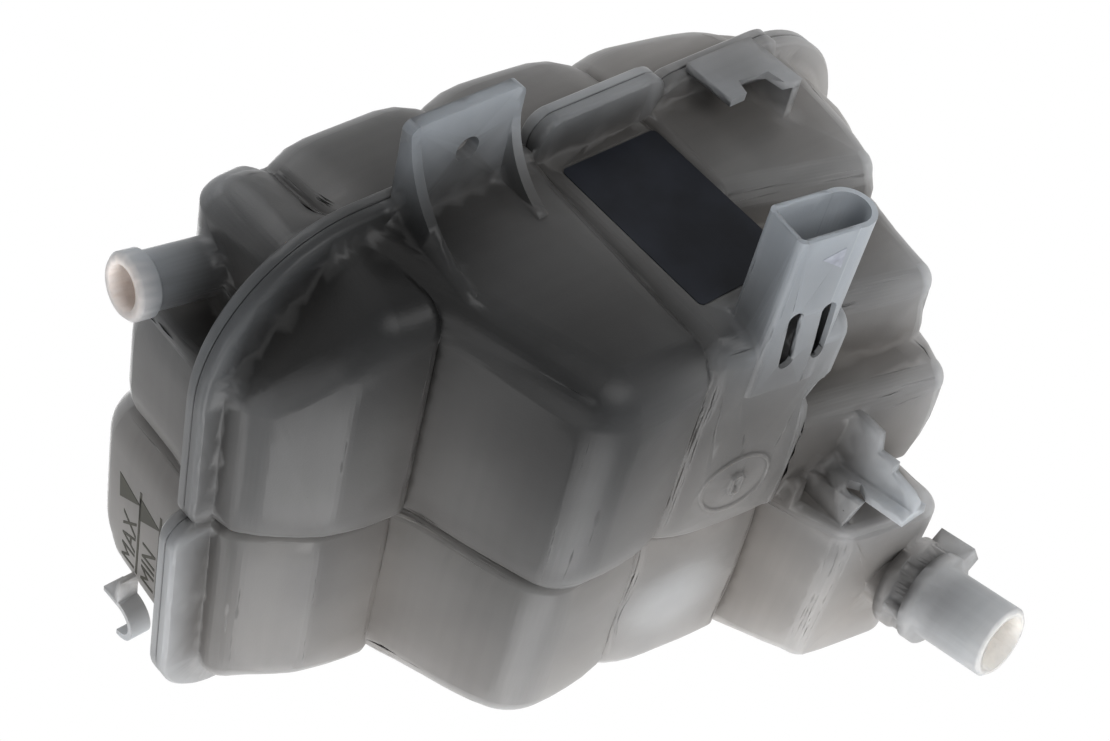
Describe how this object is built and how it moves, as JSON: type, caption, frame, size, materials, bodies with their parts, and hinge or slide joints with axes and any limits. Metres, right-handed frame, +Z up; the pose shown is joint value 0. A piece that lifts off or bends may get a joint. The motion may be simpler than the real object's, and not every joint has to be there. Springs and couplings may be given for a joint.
{
  "type": "coolant expansion tank",
  "caption": "Translucent coolant expansion tank of two welded ribbed halves, with a mounting ear, sensor pocket, locating foot, outlet and hose spigots, level float and screw cap.",
  "frame": {"origin": "centre of the mounting ear's bolt hole, on the ear's underside", "axes": "+Z up as the tank is fitted, +X along the long front wall towards the outlet, +Y from the front wall to the back"},
  "size_m": [0.285, 0.239, 0.262],
  "materials": {
    "tank_plastic": "translucent milky polypropylene, satin",
    "label_film": "dark printed film, bare",
    "float_foam": "pale moulded float plastic",
    "magnet": "dark sintered ferrite",
    "cap_plastic": "black moulded plastic",
    "insert_plastic": "dark grey moulded plastic",
    "seal_rubber": "black sealing rubber",
    "valve_brass": "turned brass",
    "spring_steel": "bright spring wire"
  },
  "bodies": {
    "tank": {"lower_half": "tank_plastic", "upper_half": "tank_plastic", "label": "label_film", "float_retainer": "float_foam"},
    "float": {"level_float": "float_foam", "float_magnet": "magnet"},
    "cap_core": {"cap_insert": "insert_plastic", "neck_seal": "seal_rubber", "spring_plate": "insert_plastic", "valve_spring": "spring_steel"},
    "cap_grip": {"cap_shell": "cap_plastic"},
    "valve": {"pressure_valve": "valve_brass"},
    "vacuum": {"vacuum_valve": "seal_rubber"}
  },
  "joints": [
    {"name": "float_rise", "type": "slide", "parent": "tank", "child": "float", "axis": [0, 0, 1], "range_m": [0, 0.036]},
    {"name": "cap_lift", "type": "slide", "parent": "tank", "child": "cap_core", "axis": [0, 0, 1], "range_m": [0, 0.015]},
    {"name": "cap_turn", "type": "hinge", "parent": "cap_core", "child": "cap_grip", "pos_m": [0.0562, 0.1647, 0.0766], "axis": [0, 0, 1], "range_deg": [0, 1080.2]},
    {"name": "valve_lift", "type": "slide", "parent": "cap_core", "child": "valve", "axis": [0, 0, 1], "range_m": [0, 0.0015], "stiffness_N_per_m": 3000, "springref_m": -0.0035, "deforming": ["valve_spring"]},
    {"name": "vacuum_drop", "type": "slide", "parent": "valve", "child": "vacuum", "axis": [0, 0, -1], "range_m": [0, 0.001], "stiffness_N_per_m": 200, "springref_m": -0.0005}
  ],
  "couplings": [
    {"joint": "cap_turn", "follows": "cap_lift", "rad_per_m": 1256.6}
  ]
}
